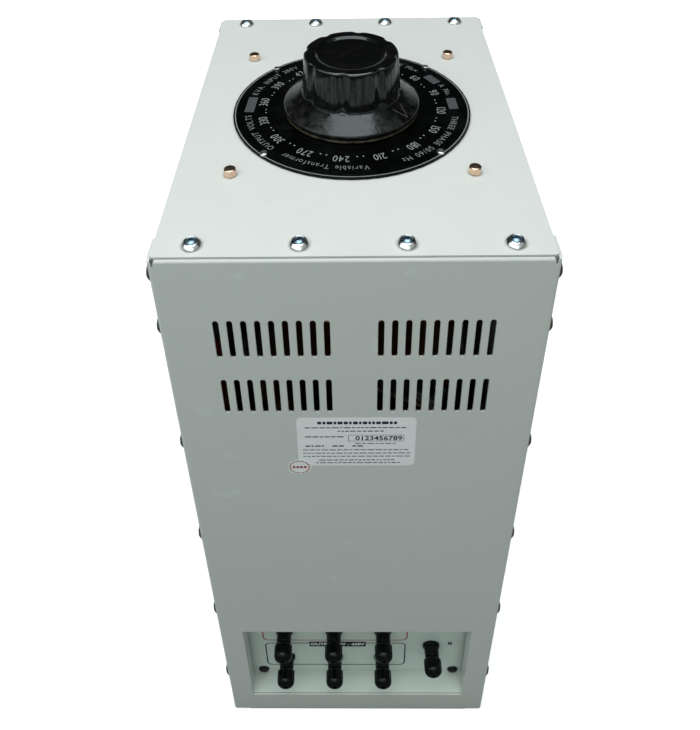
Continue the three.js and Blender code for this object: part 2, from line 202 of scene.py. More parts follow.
def scratch_mask(finish, length, width, amount, angle):
    """Thin streaks: noise drawn out along one direction and cut to its peaks."""
    vector = finish.stretched((1 / length, 1 / width, 1 / length), (0.3, 0.2, angle))
    streaks = finish.noise(1.0, 1.0, vector)
    patches = finish.noise(35 * MM, 1.0)
    sparse = finish.times(streaks, finish.band(patches, 0.45, 0.62, 0.85, 1.0))
    return finish.band(sparse, 1.0 - amount, 1.02 - amount)


def enamel(name, colour, painted_corner_shade=0.5):
    """Baked enamel on sheet steel: faint orange peel, slow shade drift, light handling marks, and painted
    shade darkening its corners and gaps.
    """
    finish = Finish(name, colour, 0.4, Specular_IOR_Level=0.45)
    drift = finish.noise(140 * MM, 2.0)
    finish.stain(drift, 0.35, 0.7, 0.10, tuple(c * 0.86 for c in colour))
    grime = finish.noise(38 * MM, 5.0, distortion=0.6)
    finish.stain(grime, 0.56, 0.78, 0.09, (0.50, 0.50, 0.44))
    specks = finish.noise(2.2 * MM, 2.0)
    finish.stain(specks, 0.72, 0.78, 0.16, (0.42, 0.42, 0.40))
    low = finish.band(finish.axis("Z"), 0.0, 60 * MM, 0.16, 0.0)
    finish.tint(low, (0.42, 0.41, 0.37))
    marks = scratch_mask(finish, 22 * MM, 0.35 * MM, 0.30, 0.7)
    finish.tint(finish.times(marks, 0.18), (0.88, 0.90, 0.90))
    # painted shade: corners, gaps and window returns darkened where shade falls
    finish.tint(finish.times(finish.crevice(14 * MM), painted_corner_shade), (0.16, 0.17, 0.14))
    finish.vary_roughness(grime, 0.36, 0.50)
    peel = finish.noise(1.3 * MM, 2.0)
    finish.bump(peel, 0.05 * MM, 0.35)
    dents = finish.noise(60 * MM, 1.0)
    finish.bump(dents, 0.5 * MM, 0.25)
    return finish.done()


def phenolic(name, shine, dust=0.015, gloss=0.09):
    """Black moulded phenolic: polished, with rub marks and a little dust, still open to changes."""
    finish = Finish(name, (0.0020, 0.0021, 0.0020), gloss, Specular_IOR_Level=shine)
    finish.set("Specular Tint", (0.88, 0.98, 1.0))
    cloud = finish.noise(9 * MM, 4.0, distortion=0.4)
    finish.stain(cloud, 0.50, 0.78, dust, (0.30, 0.26, 0.20))
    finish.vary_roughness(cloud, gloss, gloss + 0.10)
    specks = finish.noise(0.7 * MM, 2.0)
    finish.stain(specks, 0.73, 0.78, 0.07, (0.45, 0.44, 0.40))
    first = scratch_mask(finish, 9 * MM, 0.16 * MM, 0.34, 0.5)
    second = scratch_mask(finish, 7 * MM, 0.14 * MM, 0.33, 2.1)
    pale_marks = finish.math("MAXIMUM", first, second)
    finish.tint(finish.times(pale_marks, 0.03), (0.5, 0.5, 0.5))
    finish.bump(pale_marks, 0.03 * MM, 0.25)
    finish.bump(finish.noise(7 * MM, 1.0), 0.06 * MM, 0.2)
    return finish


KNOB_SHINE = 0.46


def knob_finish():
    """The knob's phenolic: streaked by fingers on the grip, smeared on the skirt, paler and brownish in
    patches round the foot of the rim.
    """
    finish = phenolic("knob_phenolic", KNOB_SHINE)
    height = finish.axis("Z")
    # the grip, below its polished crown
    below_top = finish.band(height, TOP + 47 * MM, TOP + 45 * MM)
    grip = finish.times(below_top, finish.band(height, TOP + 16 * MM, TOP + 20 * MM))
    streaks = finish.noise(2.0 * MM, 2.0, finish.stretched((1.0, 1.0, 0.05)))
    dull = finish.times(grip, finish.band(streaks, 0.40, 0.60))
    edge = finish.band(finish.distance_from_axis(), 32.8 * MM, 33.3 * MM)
    polished = finish.times(edge, finish.band(height, TOP + 47.2 * MM, TOP + 47.7 * MM))
    shine = finish.math("SUBTRACT", KNOB_SHINE, finish.times(dull, 0.28))
    finish.set("Specular IOR Level", finish.math("ADD", shine, finish.times(polished, 0.5)))
    finish.tint(finish.times(dull, 0.015), (0.30, 0.29, 0.26))
    finish.bump(finish.times(grip, finish.math("SUBTRACT", streaks, 0.5)), 0.4 * MM, 0.4)
    # the rim: paler brownish patches round its foot
    rim_patches = finish.band(finish.noise(6 * MM, 3.0), 0.30, 0.62)
    rim = finish.band(height, KNOB_FOOT + 2.6 * MM, KNOB_FOOT + 1.4 * MM)
    pale_marks = finish.times(rim, rim_patches)
    finish.tint(finish.times(pale_marks, 0.40), (0.20, 0.15, 0.09))
    # the skirt
    skirt = finish.band(height, TOP + 20 * MM, TOP + 14 * MM)
    cloud = finish.noise(9 * MM, 6.0, distortion=1.2)
    smeared = finish.times(skirt, finish.band(cloud, 0.40, 0.75))
    finish.tint(finish.times(smeared, 0.10), (0.15, 0.14, 0.13))
    blurred = finish.times(skirt, finish.band(cloud, 0.35, 0.65, 0.35, 1.0))
    finish.vary_roughness(blurred, 0.07, 0.25)
    finish.bump(finish.times(skirt, finish.noise(2.6 * MM, 2.0)), 0.25 * MM, 0.35)
    return finish.done()


def plated(name, colour, roughness, stain, grain=0.9 * MM):
    """Plated metal with a fine grain, slow tarnish and tiny pits."""
    finish = Finish(name, colour, roughness, 1.0)
    tarnish = finish.noise(4 * MM, 4.0, distortion=0.5)
    finish.stain(tarnish, 0.45, 0.75, 0.5, stain)
    finish.vary_roughness(tarnish, roughness, roughness + 0.16)
    pits = finish.noise(grain, 3.0)
    finish.bump(pits, 0.04 * MM, 0.3)
    return finish.done()


def dial_finish():
    """Black anodised plate with a fine grain and faint handling marks."""
    finish = Finish("dial_anodised", (0.0006, 0.0007, 0.0008), 0.26, Specular_IOR_Level=0.13)
    cloud = finish.noise(22 * MM, 4.0)
    finish.stain(cloud, 0.45, 0.75, 0.012, (0.16, 0.16, 0.17))
    specks = finish.noise(0.9 * MM, 2.0)
    finish.stain(specks, 0.72, 0.78, 0.10, (0.4, 0.4, 0.4))
    marks = scratch_mask(finish, 12 * MM, 0.16 * MM, 0.33, 1.1)
    finish.tint(finish.times(marks, 0.05), (0.45, 0.45, 0.46))
    finish.vary_roughness(cloud, 0.22, 0.34)
    finish.bump(finish.noise(0.5 * MM, 2.0), 0.02 * MM, 0.3)
    return finish.done()


def ink(name, colour, wear=0.25, metallic=0.0):
    """Screen-printed ink: slightly uneven and thin in places."""
    finish = Finish(name, colour, 0.5, metallic, Specular_IOR_Level=0.12)
    patchy = finish.noise(1.1 * MM, 3.0)
    finish.stain(patchy, 0.50, 0.70, wear, tuple(c * 0.5 for c in colour))
    finish.bump(finish.noise(0.4 * MM, 2.0), 0.02 * MM, 0.4)
    return finish.done()


def paper(name, colour):
    """Coated paper sticker: faint fibre, soft creases and a little grime at random."""
    finish = Finish(name, colour, 0.55, Specular_IOR_Level=0.35)
    fibre = finish.noise(0.7 * MM, 4.0)
    finish.stain(fibre, 0.4, 0.7, 0.06, (0.65, 0.66, 0.66))
    grime = finish.noise(14 * MM, 4.0)
    finish.stain(grime, 0.5, 0.8, 0.12, (0.65, 0.64, 0.60))
    finish.bump(fibre, 0.02 * MM, 0.4)
    finish.bump(finish.noise(18 * MM, 1.0), 0.25 * MM, 0.3)
    return finish.done()


def strip_core_finish():
    """Silicon-steel strip wound in a coil: thin rings on the flat faces, lines on the sides."""
    finish = Finish("wound_core_steel", (0.10, 0.105, 0.11), 0.42, 0.8)
    radius = finish.node("ShaderNodeCombineXYZ", {0: finish.distance_from_axis()}).outputs[0]
    inputs = {"Vector": radius, "Scale": 1 / (6 * MM), "Distortion": 0.4}
    rings = finish.node("ShaderNodeTexWave", inputs, wave_type="BANDS", bands_direction="X")
    finish.stain(rings.outputs["Fac"], 0.2, 0.8, 0.5, (0.34, 0.35, 0.36))
    varnish = finish.noise(16 * MM, 3.0)
    finish.stain(varnish, 0.5, 0.75, 0.4, (0.20, 0.12, 0.05))
    finish.bump(rings.outputs["Fac"], 0.06 * MM, 0.5)
    return finish.done()


def wire_finish(name, colour, roughness):
    """Enamelled copper wire, brighter where the brush has polished the track."""
    finish = Finish(name, colour, roughness, 0.75, Coat_Weight=0.4, Coat_Roughness=0.15)
    varnish = finish.noise(7 * MM, 4.0)
    finish.stain(varnish, 0.45, 0.75, 0.5, (0.24, 0.09, 0.03))
    radius = finish.distance_from_axis()
    inner = finish.band(radius, 73 * MM, 75 * MM)
    outer = finish.band(radius, 93 * MM, 95 * MM, 1.0, 0.0)
    track = finish.times(inner, outer)
    normal = finish.node("ShaderNodeNewGeometry").outputs["Normal"]
    facing = finish.band(finish.part(normal, "Z"), 0.6, 0.95)
    bare = finish.times(track, facing)
    finish.tint(bare, (0.80, 0.42, 0.24))
    finish.vary_roughness(varnish, roughness, roughness + 0.15)
    finish.bump(finish.noise(1.5 * MM, 2.0), 0.05 * MM, 0.4)
    return finish.done()


def cast_finish():
    """Die-cast aluminium: soft grain and grey flow marks."""
    finish = Finish("cast_aluminium", (0.62, 0.63, 0.64), 0.42, 0.9)
    flow = finish.noise(12 * MM, 4.0, distortion=0.8)
    finish.stain(flow, 0.45, 0.75, 0.45, (0.40, 0.41, 0.42))
    finish.vary_roughness(flow, 0.36, 0.55)
    finish.bump(finish.noise(1.0 * MM, 3.0), 0.08 * MM, 0.5)
    return finish.done()


def carbon_finish():
    """Pressed carbon: matt, finely granular, with glints of graphite."""
    finish = Finish("brush_carbon", (0.030, 0.030, 0.033), 0.6)
    grains = finish.noise(0.5 * MM, 4.0)
    finish.stain(grains, 0.6, 0.75, 0.6, (0.16, 0.16, 0.17))
    finish.bump(grains, 0.06 * MM, 0.6)
    return finish.done()


def cable_finish():
    """Red PVC cables bound side by side: lengthwise furrows and dull sheath."""
    finish = Finish("cable_pvc", (0.32, 0.025, 0.02), 0.45)
    scuff = finish.noise(8 * MM, 4.0)
    finish.stain(scuff, 0.5, 0.75, 0.4, (0.16, 0.02, 0.02))
    furrows = finish.noise(1.0, 0.0, finish.stretched((240, 240, 6)))
    finish.bump(furrows, 0.6 * MM, 0.6)
    return finish.done()


def floor_finish():
    """A pale seamless floor: bright to the eye, but throwing back less light than it shows."""
    finish = Finish("pale_floor", (0.23, 0.26, 0.245), 0.7, Specular_IOR_Level=0.1)
    grain = finish.noise(45 * MM, 3.0)
    path = finish.node("ShaderNodeLightPath")
    seen = path.outputs["Is Camera Ray"]
    shown = finish.mix(finish.band(grain, 0.4, 0.7, 0.0, 1.0), (0.90, 0.90, 0.90), (0.87, 0.87, 0.86))
    finish.colour = finish.mix(path.outputs["Is Glossy Ray"], finish.colour, (0.12, 0.13, 0.125))
    finish.colour = finish.mix(seen, finish.colour, shown)
    finish.set("Emission Color", (1.0, 1.0, 1.0, 1.0))
    glow = finish.band(finish.distance_from_axis(), 0.8, 2.0, 0.50, 1.2)
    finish.set("Emission Strength", finish.times(seen, glow))
    return finish.done()


PAINT = enamel("case_enamel", (0.700, 0.700, 0.685))
# the board's corners take less painted shade than the case's
BOARD_PAINT = enamel("board_enamel", (0.735, 0.800, 0.760), 0.3)
KNOB = knob_finish()
TERMINAL = phenolic("terminal_phenolic", 0.24, dust=0.006, gloss=0.12).done()
DIAL = dial_finish()
NICKEL = plated("nickel_plate", (0.84, 0.84, 0.83), 0.10, (0.60, 0.60, 0.58))
ZINC = plated("zinc_plate", (0.24, 0.36, 0.46), 0.24, (0.32, 0.44, 0.52))
PAN_ZINC = plated("base_zinc", (0.60, 0.62, 0.63), 0.34, (0.44, 0.45, 0.46), 2.5 * MM)
COPPERED = plated("copper_plate", (0.80, 0.59, 0.43), 0.12, (0.72, 0.42, 0.36), 2.5 * MM)
BRASS = plated("turned_brass", (0.78, 0.60, 0.30), 0.24, (0.56, 0.40, 0.18))
# dark brownish plating for the side screws: partly their own dull tone, partly painted shade, as the side
# walls stand in shade
DARK_PLATING_AND_SHADE = plated("dark_plating_and_shade", (0.30, 0.27, 0.23), 0.30, (0.20, 0.17, 0.13))
STEEL = plated("bright_steel", (0.56, 0.57, 0.58), 0.28, (0.38, 0.38, 0.38))
BLACK_STEEL = plated("blackened_steel", (0.03, 0.03, 0.03), 0.35, (0.07, 0.065, 0.06))
CORE = strip_core_finish()
WINDING = wire_finish("enamelled_copper", (0.20, 0.075, 0.032), 0.3)
CAST = cast_finish()
CARBON = carbon_finish()
CABLE = cable_finish()
SILVER_INK = ink("silver_ink", (0.26, 0.28, 0.28))
GREY_INK = ink("grey_ink", (0.20, 0.215, 0.215))
FIELD_INK = ink("field_ink", (0.075, 0.080, 0.086))
BLACK_INK = ink("black_ink", (0.006, 0.007, 0.007))
RED_INK = ink("red_ink", (0.42, 0.030, 0.060))
WHITE_INK = ink("white_ink", (0.95, 0.97, 0.97))
PALE_ENGRAVING = ink("engraving", (0.075, 0.075, 0.070), 0.5)
LABEL_INK = ink("label_ink", (0.030, 0.034, 0.050), 0.15)
LABEL = paper("label_paper", (0.99, 0.96, 1.0))
STAMP = paper("stamp_paper", (0.96, 0.95, 0.96))

# ---- pieces


def linked(name, data):
    """A new object in the scene."""
    item = bpy.data.objects.new(name, data)
    bpy.context.scene.collection.objects.link(item)
    return item


def as_mesh(name, bm):
    """A bmesh turned into a mesh, and let go."""
    mesh = bpy.data.meshes.new(name)
    bm.to_mesh(mesh)
    bm.free()
    return mesh


def shared_mesh(name, bm, finish):
    """A mesh with its material, for one piece or many."""
    mesh = as_mesh(name, bm)
    mesh.materials.append(finish)
    return mesh


def copy_at(name, mesh, place, body="case"):
    """A shown piece with this mesh at a 4x4 place, riding on a body."""
    item = linked(name, mesh)
    item.matrix_world = place
    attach(item, body)
    return item


def add_piece(name, bm, finish, body="case"):
    """A shown piece made from a bmesh that is already in its place."""
    return copy_at(name, shared_mesh(name, bm, finish), Matrix(), body)


def smooth(bm, angle):
    """Smooth faces, with edges sharper than the angle left crisp."""
    limit = math.radians(angle)
    for face in bm.faces:
        face.smooth = True
    for edge in bm.edges:
        edge.smooth = len(edge.link_faces) == 2 and edge.calc_face_angle(0.0) < limit
    return bm


def polar(radius, angle):
    return radius * math.cos(angle), radius * math.sin(angle)


def disc_points(radius, steps=20):
    """The outline of a disc about the origin, from its radius in millimetres."""
    return [polar(radius * MM, 2 * math.pi * i / steps) for i in range(steps)]


def bridge(bm, lower, upper):
    """Faces between two rings of vertices; a ring of one vertex is a tip."""
    steps = max(len(lower), len(upper))
    for i in range(steps):
        j = (i + 1) % steps
        if len(lower) == 1:
            bm.faces.new((lower[0], upper[j], upper[i]))
        elif len(upper) == 1:
            bm.faces.new((lower[i], lower[j], upper[0]))
        else:
            bm.faces.new((lower[i], lower[j], upper[j], upper[i]))


def turned(profile, steps, shape=None):
    """A solid turned about Z from (radius, z) points.

    Points that start off the axis are a closed loop, which gives a ring.
    shape(angle, radius, z) may change a ring's radius, as for flutes.
    """
    bm = bmesh.new()
    rings = []
    for radius, z in profile:
        if radius == 0:
            rings.append([bm.verts.new((0, 0, z))])
            continue
        angles = [2 * math.pi * i / steps for i in range(steps)]
        reach = [shape(a, radius, z) if shape else radius for a in angles]
        rings.append([bm.verts.new((*polar(r, a), z)) for r, a in zip(reach, angles)])
    if profile[0][0]:
        rings.append(rings[0])
    for lower, upper in zip(rings, rings[1:]):
        bridge(bm, lower, upper)
    bm.normal_update()
    return bm


def scaled(profile):
    """A profile in millimetres as metres."""
    return [(r * MM, z * MM) for r, z in profile]


def arc(cx, cz, radius, start, end, steps):
    """Points along an arc in a profile, between two angles in degrees."""
    angles = [math.radians(start + (end - start) * i / steps) for i in range(steps + 1)]
    return [(cx + radius * math.cos(a), cz + radius * math.sin(a)) for a in angles]


def shown_shape(item):
    """An object's shape after its modifiers, as a bmesh."""
    graph = bpy.context.evaluated_depsgraph_get()
    bm = bmesh.new()
    bm.from_mesh(item.evaluated_get(graph).to_mesh())
    return bm


def cut_out(bm, tool):
    """The solid bm with the solid tool taken away, by an exact boolean."""
    body, cutter = (linked("solid", as_mesh("solid", solid)) for solid in (bm, tool))
    modifier = body.modifiers.new("cut", "BOOLEAN")
    modifier.operation = "DIFFERENCE"
    modifier.solver = "EXACT"
    modifier.object = cutter
    result = shown_shape(body)
    for item in (body, cutter):
        bpy.data.objects.remove(item)
    return result


def on_wall(x, z, y):
    """A place on a wall that faces the front: X stays, Y of the shape is up, Z is outwards."""
    return Matrix.Translation((x, y, z)) @ Matrix.Rotation(math.pi / 2, 4, "X")


def box_solid(low, high):
    bm = bmesh.new()
    size = Vector(high) - Vector(low)
    middle = (Vector(high) + Vector(low)) / 2
    bmesh.ops.create_cube(bm, size=1, matrix=Matrix.Translation(middle) @ Matrix.Diagonal((*size, 1)))
    return bm


def merged(*solids):
    """Several bmeshes as one."""
    result = bmesh.new()
    for solid in solids:
        result.from_mesh(as_mesh("part", solid))
    return result


# ---- sheet metal and other CAD shapes


def eased(node, finish, edge, holes=()):
    """A CAD node's own shape, with any holes cut and its edges eased, shown in place of the node."""
    bm = bmesh.new()
    bm.from_mesh(frame["nodes"][node].data)
    bmesh.ops.remove_doubles(bm, verts=bm.verts, dist=0.002 * MM)
    for hole in holes:
        bm = cut_out(bm, hole)
    bmesh.ops.dissolve_limit(bm, angle_limit=math.radians(0.5), verts=bm.verts, edges=bm.edges)
    sharp = [e for e in bm.edges if e.is_manifold and e.calc_face_angle() > math.radians(50)]
    bmesh.ops.bevel(
        bm, geom=sharp, offset=edge, segments=2, profile=0.5, affect="EDGES", clamp_overlap=True
    )
    piece = add_piece(node + "_shell", smooth(bm, 42), finish)
    for attribute in list(piece.data.attributes):
        if attribute.name in ("custom_normal", "UVMap"):
            piece.data.attributes.remove(attribute)
    piece.modifiers.new("flat_faces", "WEIGHTED_NORMAL").keep_sharp = True
    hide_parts(node)


def give(node, finish):
    """A CAD node that stays as it is, with its material."""
    item = frame["nodes"][node]
    item.data.materials.clear()
    item.data.materials.append(finish)


def relief_shaft(side):
    """The hole in a side panel's front fold, under the bend relief in the front cover."""
    shaft = turned(scaled([(0, -30), (1.5, -30), (1.5, 1), (0, 1)]), 16)
    inset, setback = 3.3 * MM, 1.6 * MM
    shaft.transform(Matrix.Translation((side * (SIDE - inset), FRONT + setback, TOP)))
    return shaft


def build_case():
    for node in ("front_cover", "rear_cover"):
        eased(node, PAINT, 0.10 * MM)
    eased("top_plate", PAINT, 0.25 * MM)
    for name, side in (("left", -1), ("right", 1)):
        eased(f"{name}_side_panel", PAINT, 0.25 * MM, holes=[relief_shaft(side)])
    eased("terminal_board", BOARD_PAINT, 0.25 * MM)
    eased("base_plate", PAN_ZINC, 0.3 * MM)
    eased("dial_plate", DIAL, 0.2 * MM)


# ---- knob

FLUTES = 8
FLUTE_DEPTH = 1.7 * MM
FLUTE_HALF = math.radians(9.5)
FLUTE_FOOT = TOP + 17.6 * MM
SKIRT = (50.6, 9.15)  # radius and height above the top plate of the skirt's lower edge, in millimetres
SKIRT_IN = 12.4
SKIRT_RISE = 8.35


def pointer_angle():
    """Where the knob's pointer stands: the brush arms reach out the same way."""
    middle = centre("carbon_brush_upper")
    return math.atan2(middle.y, middle.x)


def fluted(angle, radius, z):
    """The grip's radius with its shallow flutes; the skirt below and the dish inside stay round."""
    if z < FLUTE_FOOT or radius < 30 * MM:
        return radius
    spacing = 2 * math.pi / FLUTES
    turns = (angle - pointer_angle() - math.radians(25)) / spacing
    away = abs(turns - round(turns)) * spacing
    share = min(away / FLUTE_HALF, 1.0)
    grown = min((z - FLUTE_FOOT) / (1.4 * MM), 1.0)
    return radius - FLUTE_DEPTH * grown * (1 + math.cos(math.pi * share)) / 2


def knob_profile():
    rim = [(0, 2.7), (50.5, 2.7), (51.0, 3.1), (51.0, 4.1), (50.6, 4.5), (50.0, 4.7)]
    skirt = [(50.0, 5.1), (51.1, 5.4), (51.45, 5.9), (51.45, 8.1), (51.2, 8.7), SKIRT]
    cone = [(SKIRT[0] - SKIRT_IN * t / 6, SKIRT[1] + SKIRT_RISE * t / 6) for t in range(1, 7)]
    fillet = arc(38.35, 18.9, 1.3, 250, 185, 4)
    grip = [(36.9 - 1.95 * t / 8, 20.0 + 27.2 * t / 8) for t in range(0, 9)]
    crown = arc(33.1, 47.7, 1.75, 10, 90, 6)
    dish = [(27.2, 49.45), (26.6, 49.35), (26.0, 49.0), (24.9, 48.1), (24.2, 47.75), (23.4, 47.62)]
    inside = [(16, 47.6), (8, 47.6), (0, 47.6)]
    points = rim + skirt + cone + fillet + grip + crown + dish + inside
    return [(r * MM, TOP + z * MM) for r, z in points]


def cone_height(radius):
    """Height of the skirt's surface at a radius, in metres."""
    return TOP + (SKIRT[1] + SKIRT_RISE * (SKIRT[0] - radius / MM) / SKIRT_IN) * MM


def pointer_stroke(start, end):
    """A narrow inlaid line on the skirt between two (radius, angle from the pointer) places."""
    bm = bmesh.new()
    steps = 8
    half = 0.24 * MM
    rows = []
    ends = [Vector(polar(r, pointer_angle() + math.radians(angle))) for r, angle in (start, end)]
    across = (ends[1] - ends[0]).orthogonal().normalized() * half
    for i in range(steps + 1):
        middle = ends[0].lerp(ends[1], i / steps)
        row = []
        for side in (-1, 1):
            spot = middle + across * side
            height = cone_height(spot.length)
            row.append([(spot.x, spot.y, height + lift) for lift in (-0.10 * MM, 0.05 * MM)])
        rows.append(row)
    grid = [[[bm.verts.new(p) for p in pair] for pair in row] for row in rows]
    for a, b in zip(grid, grid[1:]):
        bm.faces.new((a[0][1], b[0][1], b[1][1], a[1][1]))
        bm.faces.new((a[0][0], a[1][0], b[1][0], b[0][0]))
        bm.faces.new((a[0][0], b[0][0], b[0][1], a[0][1]))
        bm.faces.new((a[1][0], a[1][1], b[1][1], b[1][0]))
    for row in (grid[0], grid[-1]):
        bm.faces.new((row[0][0], row[0][1], row[1][1], row[1][0]))
    bmesh.ops.recalc_face_normals(bm, faces=bm.faces)
    return bm


def build_knob():
    body = turned(knob_profile(), 192, fluted)
    knob = add_piece("knob_moulding", smooth(body, 40), KNOB, "rotor")
    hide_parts("knob")
    tip = (49.0 * MM, 0.6)
    strokes = [pointer_stroke(tip, (40.2 * MM, angle)) for angle in (-7.2, 7.2)]
    add_piece("knob_pointer", merged(*strokes), PALE_ENGRAVING, "rotor")
    give("knob_set_screw", STEEL)


# ---- fasteners


def with_cross(head, floor, reach, width):
    """A screw head with a Phillips recess, whose arms narrow towards the recess's floor."""
    for turn in (0, math.pi / 2):
        arm = box_solid((-reach, -width / 2, floor), (reach, width / 2, floor + 5 * MM))
        for vert in arm.verts:
            if vert.co.z < floor + 1 * MM:
                vert.co.x *= 0.35
        arm.transform(Matrix.Rotation(turn, 4, "Z"))
        head = cut_out(head, arm)
    return head


def cup_washer():
    """A finishing washer: a domed ring that the screw's head sits in, hollow underneath."""
    outside = [(6.75, 0.0), (6.9, 0.15), (6.9, 0.4), (6.7, 0.85), (6.3, 1.45), (5.75, 2.1)]
    shoulder = [(5.15, 2.7), (4.65, 3.1), (4.3, 3.35), (4.05, 3.42), (3.85, 3.35), (3.7, 3.1)]
    inside = [(3.55, 2.2), (2.6, 1.2), (2.6, 0.9), (4.4, 1.9), (6.0, 0.5), (6.2, 0.0)]
    return smooth(turned(scaled(outside + shoulder + inside), 56), 50)


def raised_head():
    """A raised countersunk head with a cross recess, seated in the cup."""
    profile = [(0, 0.4), (2.0, 0.4), (3.1, 2.2), (3.3, 2.7), (3.3, 3.1), (3.1, 3.4)]
    profile += [(2.7, 3.7), (2.0, 4.0), (1.2, 4.2), (0, 4.3)]
    head = turned(scaled(profile), 48)
    return smooth(with_cross(head, 2.7 * MM, 2.2 * MM, 0.9 * MM), 40)


def pan_head(radius, height, slot_width):
    """A small pan head with a straight slot."""
    low = -0.4
    profile = [(0, low), (radius, low), (radius, height * 0.45), (radius * 0.92, height * 0.8)]
    profile += [(radius * 0.7, height * 0.96), (0, height)]
    head = turned(scaled(profile), 28)
    reach, half = radius * 1.2 * MM, slot_width * MM / 2
    slot = box_solid((-reach, -half, height * 0.45 * MM), (reach, half, 3 * MM))
    return smooth(cut_out(head, slot), 40)


def board_head():
    """A black truss head with a cross recess."""
    profile = [(0, -0.4), (5.2, -0.4), (5.2, 0.5), (4.7, 1.4), (3.4, 2.2), (1.7, 2.6), (0, 2.7)]
    head = turned(scaled(profile), 40)
    return smooth(with_cross(head, 1.0 * MM, 2.4 * MM, 0.75 * MM), 40)


def turn_for(name):
    """A repeatable odd angle for each screw, as nobody lines screws up."""
    return random.Random(name).uniform(0, math.pi)


def place_facing(point, direction, turn):
    """A place at point whose +Z looks along direction, turned about it."""
    facing = Vector(direction).to_track_quat("Z", "Y").to_matrix().to_4x4()
    return Matrix.Translation(point) @ facing @ Matrix.Rotation(turn, 4, "Z")


CLEAR = 0.05 * MM  # gap between a cup washer and the sheet under it


def cup_screw(name, point, direction, meshes, node=None):
    washer, head = meshes
    place = place_facing(point, direction, turn_for(name))
    ring = copy_at(name + "_cup", washer, place)
    copy_at(name + "_screw", head, place)
    if node:
        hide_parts(node)


def cup_screw_meshes(name, washer_finish, head_finish):
    washer = shared_mesh(name + "_washer", cup_washer(), washer_finish)
    return washer, shared_mesh(name + "_head", raised_head(), head_finish)


def build_top_screws():
    meshes = cup_screw_meshes("top", NICKEL, ZINC)
    for row in ("front", "rear"):
        for i in range(1, 5):
            node = f"top_screw_{row}_{i}"
            spot = centre(node)
            spot.z = TOP + CLEAR
            cup_screw(f"{row}_top_{i}", spot, (0, 0, 1), meshes, node)


def build_side_screws():
    # the side screws are darkened: partly their own tone, partly painted shade
    meshes = cup_screw_meshes("side", DARK_PLATING_AND_SHADE, DARK_PLATING_AND_SHADE)
    from_edge = 11 * MM
    drops = (19.5, 65.5, 184, 302.5, 421, 539.5)
    for side, out in (("left", -1), ("right", 1)):
        for end, y in (("front", FRONT + from_edge), ("rear", -FRONT - from_edge)):
            for i, drop in enumerate(drops, 1):
                spot = (out * (SIDE + CLEAR), y, below(drop))
                cup_screw(f"{side}_{end}_{i}", spot, (out, 0, 0), meshes)


def build_dial_screws():
    small = shared_mesh("dial_screw", pan_head(2.7, 1.9, 0.6), NICKEL)
    for i in range(4):
        spot = (*polar(87 * MM, math.radians(45 + 90 * i)), DIAL_TOP)
        copy_at(f"dial_screw_{i + 1}", small, place_facing(spot, (0, 0, 1), 0.4 + i))


def build_board_screws():
    black = shared_mesh("board_screw", board_head(), BLACK_STEEL)
    for side, x in (("left", -92.4), ("right", 94.4)):
        place = place_facing((x * MM, BOARD, below(564.5)), (0, -1, 0), x)
        copy_at(f"board_screw_{side}", black, place)


NUT_FLAT = 4.0  # millimetres from a nut's axis to a flat
NUT_CORNER = NUT_FLAT / math.cos(math.pi / 6)


def hexagon(angle, radius, z):
    """A turned outline's radius, trimmed to a nut's six flats."""
    sector = (angle + math.pi / 6) % (math.pi / 3) - math.pi / 6
    return min(radius, NUT_FLAT * MM / math.cos(sector))


def rod_nut():
    """A plain hexagon nut, chamfered on both faces, with the hole for its tie rod."""
    outline = [(0, 0), (NUT_FLAT, 0), (NUT_CORNER, 0.45), (NUT_CORNER, 3.55), (NUT_FLAT, 4), (0, 4)]
    bore = [(0, -1), (2.6, -1), (2.6, 5), (0, 5)]
    return smooth(cut_out(turned(scaled(outline), 96, hexagon), turned(scaled(bore), 24)), 28)


def build_rod_nuts():
    nut = shared_mesh("rod_nut", rod_nut(), STEEL)
    for corner in CORNERS:
        spot = centre(f"tie_rod_{corner}")
        for unit in UNITS:
            low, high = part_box(f"coil_frame_{unit}")
            for face, z in (("under", low.z - 4 * MM), ("over", high.z)):
                place = place_facing((spot.x, spot.y, z), (0, 0, 1), 9 * z / MM)
                copy_at(f"rod_nut_{corner}_{unit}_{face}", nut, place)


def low_cap_nut(node):
    """A low blind hexagon nut with its top edge chamfered round, on the end of a tie rod."""
    profile = [(0, 0), (NUT_FLAT, 0), (4.35, 0.12), (NUT_CORNER, 0.4), (NUT_CORNER, 4.3)]
    profile += [(4.35, 4.62), (NUT_FLAT, 4.9), (3.8, 5.1), (3.5, 5.27), (2.6, 5.38)]
    profile += [(1.4, 5.43), (0, 5.45)]
    bm = turned(scaled(profile), 96, hexagon)
    spot = centre(node)
    spot.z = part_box(node)[0].z
    turn = Matrix.Rotation(turn_for(node), 4, "Z")
    bm.transform(Matrix.Translation(spot) @ turn)
    piece = add_piece(node.replace("cap_nut", "blind_nut"), smooth(bm, 28), COPPERED)
    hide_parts(node)


# ---- binding posts


def post_body():
    """Collar and neck of a post."""
    profile = [(0, 0.02), (7.7, 0.02), (8.0, 0.3), (8.0, 2.1), (7.7, 2.7), (7.1, 3.0), (6.4, 3.1)]
    profile += [(6.9, 3.3), (6.8, 3.9), (6.6, 10.9), (6.2, 11.4), (3.0, 11.5), (0, 11.5)]
    return turned(scaled(profile), 56)


def thread(start, count):
    """Fine rings that stand for a thread, from a height upwards."""
    pitch = 0.8
    rings = []
    for i in range(count):
        z = start + i * pitch
        rings += [(2.5, z + 0.1), (2.15, z + 0.5)]
    return rings


